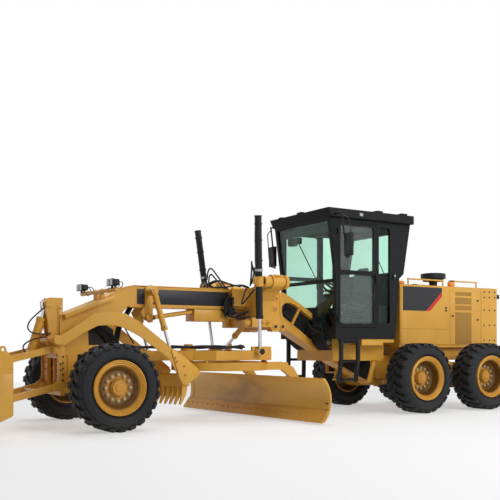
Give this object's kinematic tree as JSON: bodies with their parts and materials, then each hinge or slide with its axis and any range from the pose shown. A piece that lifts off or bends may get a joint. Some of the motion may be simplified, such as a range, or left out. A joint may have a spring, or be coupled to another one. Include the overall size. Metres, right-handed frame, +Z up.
{
  "type": "motor grader",
  "caption": "Articulated motor grader with cab, tandem rear wheels, leaning steered front wheels, turning blade, scarifier and front push plate.",
  "frame": {"origin": "on the ground under the middle of the whole machine's box", "axes": "+X forward, +Y to the machine's left, +Z up"},
  "size_m": [9.8, 3.6618, 3.32],
  "materials": {
    "machine_yellow": "satin yellow paint",
    "dark_steel": "dull dark steel",
    "cab_charcoal": "satin charcoal paint",
    "tinted_glass": "green tinted",
    "tyre": "matte",
    "chrome_rod": "polished",
    "black_trim": "black satin",
    "seat_fabric": "dark woven"
  },
  "bodies": {
    "chassis": {"front_frame": "machine_yellow", "front_axle": "machine_yellow", "cab_shell": "cab_charcoal", "cab_glass": "tinted_glass", "cab_roof": "cab_charcoal", "seat": "seat_fabric", "console": "cab_charcoal", "mirrors": "black_trim", "ladders": "black_trim", "lamp_bar": "machine_yellow", "blade_yoke": "machine_yellow", "lift_bracket": "machine_yellow"},
    "rear": {"rear_frame": "machine_yellow", "tandem_left": "machine_yellow", "tandem_right": "machine_yellow", "hood": "machine_yellow", "engine": "dark_steel", "precleaner": "black_trim", "hood_rails": "black_trim"},
    "door_left": {"door_left": "cab_charcoal", "door_glass_left": "tinted_glass"},
    "door_right": {"door_right": "cab_charcoal", "door_glass_right": "tinted_glass"},
    "lean_left": {"lean_yoke_left": "machine_yellow"},
    "lean_right": {"lean_yoke_right": "machine_yellow"},
    "lean_link": {"lean_bar": "machine_yellow"},
    "steer_left": {"spindle_left": "machine_yellow"},
    "steer_right": {"spindle_right": "machine_yellow"},
    "drawbar": {"drawbar": "machine_yellow", "circle_pads": "machine_yellow"},
    "circle": {"blade_circle": "machine_yellow"},
    "carrier": {"blade_carrier": "machine_yellow"},
    "blade": {"moldboard": "machine_yellow", "cutting_edge": "dark_steel"},
    "lift_barrel_left": {"lift_barrel_left": "machine_yellow"},
    "lift_barrel_right": {"lift_barrel_right": "machine_yellow"},
    "lift_rod_left": {"lift_rod_left": "chrome_rod"},
    "lift_rod_right": {"lift_rod_right": "chrome_rod"},
    "shift_barrel": {"shift_barrel": "machine_yellow"},
    "shift_rod": {"shift_rod": "chrome_rod"},
    "scarifier": {"scarifier": "machine_yellow"},
    "scarifier_barrels": {"scarifier_barrels": "machine_yellow"},
    "scarifier_rods": {"scarifier_rods": "chrome_rod"},
    "lower_links": {"push_links_lower": "machine_yellow"},
    "upper_links": {"push_links_upper": "machine_yellow"},
    "push_plate": {"push_plate": "machine_yellow"},
    "push_barrel": {"push_barrel": "machine_yellow"},
    "push_rod": {"push_rod": "chrome_rod"},
    "wheel_front_left": {"tyre_front_left": "tyre", "rim_front_left": "machine_yellow"},
    "wheel_front_right": {"tyre_front_right": "tyre", "rim_front_right": "machine_yellow"},
    "wheel_tandem_left_front": {"tyre_tandem_left_front": "tyre", "rim_tandem_left_front": "machine_yellow"},
    "wheel_tandem_left_rear": {"tyre_tandem_left_rear": "tyre", "rim_tandem_left_rear": "machine_yellow"},
    "wheel_tandem_right_front": {"tyre_tandem_right_front": "tyre", "rim_tandem_right_front": "machine_yellow"},
    "wheel_tandem_right_rear": {"tyre_tandem_right_rear": "tyre", "rim_tandem_right_rear": "machine_yellow"}
  },
  "joints": [
    {"name": "articulation", "type": "hinge", "parent": "chassis", "child": "rear", "pos_m": [-2.1, 0, 0.75], "axis": [0, 0, 1], "range_deg": [-20, 20]},
    {"name": "lean_left", "type": "hinge", "parent": "chassis", "child": "lean_left", "pos_m": [3.26, 0.63, 0.56], "axis": [1, 0, 0], "range_deg": [-18, 18]},
    {"name": "steer_left", "type": "hinge", "parent": "lean_left", "child": "steer_left", "pos_m": [3.26, 0.805, 0.583], "axis": [0, 0, 1], "range_deg": [-45, 45]},
    {"name": "lean_right", "type": "hinge", "parent": "chassis", "child": "lean_right", "pos_m": [3.26, -0.63, 0.56], "axis": [1, 0, 0], "range_deg": [-18, 18]},
    {"name": "steer_right", "type": "hinge", "parent": "lean_right", "child": "steer_right", "pos_m": [3.26, -0.805, 0.583], "axis": [0, 0, 1], "range_deg": [-45, 45]},
    {"name": "lean_link", "type": "hinge", "parent": "lean_left", "child": "lean_link", "pos_m": [3.26, 0.63, 0.88], "axis": [1, 0, 0], "range_deg": [-18, 18]},
    {"name": "spin_front_left", "type": "hinge", "parent": "steer_left", "child": "wheel_front_left", "pos_m": [3.26, 1.035, 0.583], "axis": [0, 1, 0], "continuous": true},
    {"name": "spin_front_right", "type": "hinge", "parent": "steer_right", "child": "wheel_front_right", "pos_m": [3.26, -1.035, 0.583], "axis": [0, 1, 0], "continuous": true},
    {"name": "spin_tandem_left_front", "type": "hinge", "parent": "rear", "child": "wheel_tandem_left_front", "pos_m": [-2.1585, 1.035, 0.583], "axis": [0, 1, 0], "continuous": true},
    {"name": "spin_tandem_left_rear", "type": "hinge", "parent": "rear", "child": "wheel_tandem_left_rear", "pos_m": [-3.6815, 1.035, 0.583], "axis": [0, 1, 0], "continuous": true},
    {"name": "spin_tandem_right_front", "type": "hinge", "parent": "rear", "child": "wheel_tandem_right_front", "pos_m": [-2.1585, -1.035, 0.583], "axis": [0, 1, 0], "continuous": true},
    {"name": "spin_tandem_right_rear", "type": "hinge", "parent": "rear", "child": "wheel_tandem_right_rear", "pos_m": [-3.6815, -1.035, 0.583], "axis": [0, 1, 0], "continuous": true},
    {"name": "door_left", "type": "hinge", "parent": "chassis", "child": "door_left", "pos_m": [-0.635, 0.806, 2.26], "axis": [0, 0, -1], "range_deg": [0, 80]},
    {"name": "door_right", "type": "hinge", "parent": "chassis", "child": "door_right", "pos_m": [-0.635, -0.806, 2.26], "axis": [0, 0, 1], "range_deg": [0, 80]},
    {"name": "drawbar_lift", "type": "hinge", "parent": "chassis", "child": "drawbar", "pos_m": [2.83, 0, 0.96], "axis": [0, 1, 0], "range_deg": [-5, 9]},
    {"name": "circle_turn", "type": "hinge", "parent": "drawbar", "child": "circle", "pos_m": [1.09, 0, 0.812], "axis": [0, 0, 1], "range_deg": [-50.5, 39.5]},
    {"name": "blade_tip", "type": "hinge", "parent": "circle", "child": "carrier", "pos_m": [0.27875, -0.07811, 0.33], "axis": [0.0958, -0.9954, 0], "range_deg": [-20, 10]},
    {"name": "blade_shift", "type": "slide", "parent": "carrier", "child": "blade", "axis": [-0.0958, 0.9954, 0], "range_m": [-0.45, 0.45]},
    {"name": "lift_left_swing", "type": "hinge", "parent": "chassis", "child": "lift_barrel_left", "pos_m": [0.896, 0.85, 2.09], "axis": [1, 0, 0], "range_deg": [-2.68, 1.71]},
    {"name": "lift_left_extend", "type": "slide", "parent": "lift_barrel_left", "child": "lift_rod_left", "axis": [-0.0849, -0.1075, -0.9906], "range_m": [-0.3205, 0.1803]},
    {"name": "lift_right_swing", "type": "hinge", "parent": "chassis", "child": "lift_barrel_right", "pos_m": [0.896, -0.85, 2.09], "axis": [1, 0, 0], "range_deg": [-1.71, 2.68]},
    {"name": "lift_right_extend", "type": "slide", "parent": "lift_barrel_right", "child": "lift_rod_right", "axis": [-0.0849, 0.1075, -0.9906], "range_m": [-0.3205, 0.1803]},
    {"name": "shift_swing", "type": "hinge", "parent": "chassis", "child": "shift_barrel", "pos_m": [0.855, 0.4, 1.475], "axis": [0.9902, 0, -0.1396], "range_deg": [-22.8, 12.89]},
    {"name": "shift_extend", "type": "slide", "parent": "shift_barrel", "child": "shift_rod", "axis": [0, -0.8604, -0.5096], "range_m": [-0.1288, 0.0738]},
    {"name": "scarifier_lift", "type": "hinge", "parent": "chassis", "child": "scarifier", "pos_m": [3.86, 0, 1.205], "axis": [0, 1, 0], "range_deg": [-12, 2]},
    {"name": "scarifier_swing", "type": "hinge", "parent": "chassis", "child": "scarifier_barrels", "pos_m": [2.398, 0, 1.91], "axis": [0, 1, 0], "range_deg": [-8.63, 1.85]},
    {"name": "scarifier_extend", "type": "slide", "parent": "scarifier_barrels", "child": "scarifier_rods", "axis": [-0.2869, 0, -0.958], "range_m": [-0.0603, 0.337]},
    {"name": "push_lift", "type": "hinge", "parent": "chassis", "child": "lower_links", "pos_m": [3.841, 0, 0.565], "axis": [0, -1, 0], "range_deg": [-12, 30]},
    {"name": "upper_links", "type": "hinge", "parent": "chassis", "child": "upper_links", "pos_m": [3.841, 0, 1.091], "axis": [0, -1, 0], "range_deg": [-12.5, 30.5]},
    {"name": "push_level", "type": "hinge", "parent": "lower_links", "child": "push_plate", "pos_m": [4.481, 0, 0.415], "axis": [0, -1, 0], "range_deg": [-30.5, 12.5]},
    {"name": "push_swing", "type": "hinge", "parent": "upper_links", "child": "push_barrel", "pos_m": [4.074, 0, 1.03639], "axis": [0, -1, 0], "range_deg": [-26.43, 10.87]},
    {"name": "push_extend", "type": "slide", "parent": "push_barrel", "child": "push_rod", "axis": [-0.3057, 0, 0.9521], "range_m": [-0.1202, 0.0511]}
  ],
  "couplings": [
    {"joint": "lean_right", "follows": "lean_left", "ratio": 1},
    {"joint": "steer_right", "follows": "steer_left", "ratio": 1},
    {"joint": "lean_link", "follows": "lean_left", "ratio": -1},
    {"joint": "lift_left_swing", "follows": "drawbar_lift", "ratio": -0.2422},
    {"joint": "lift_left_extend", "follows": "drawbar_lift", "m_per_rad": -2.0084},
    {"joint": "lift_right_swing", "follows": "drawbar_lift", "ratio": 0.2422},
    {"joint": "lift_right_extend", "follows": "drawbar_lift", "m_per_rad": -2.0084},
    {"joint": "shift_swing", "follows": "drawbar_lift", "ratio": -2.4778},
    {"joint": "shift_extend", "follows": "drawbar_lift", "m_per_rad": -0.7882},
    {"joint": "scarifier_swing", "follows": "scarifier_lift", "ratio": 0.6771},
    {"joint": "scarifier_extend", "follows": "scarifier_lift", "m_per_rad": -1.5853},
    {"joint": "upper_links", "follows": "push_lift", "ratio": 1},
    {"joint": "push_level", "follows": "push_lift", "ratio": -1},
    {"joint": "push_swing", "follows": "push_lift", "ratio": -0.8643},
    {"joint": "push_extend", "follows": "push_lift", "m_per_rad": -0.2201}
  ]
}
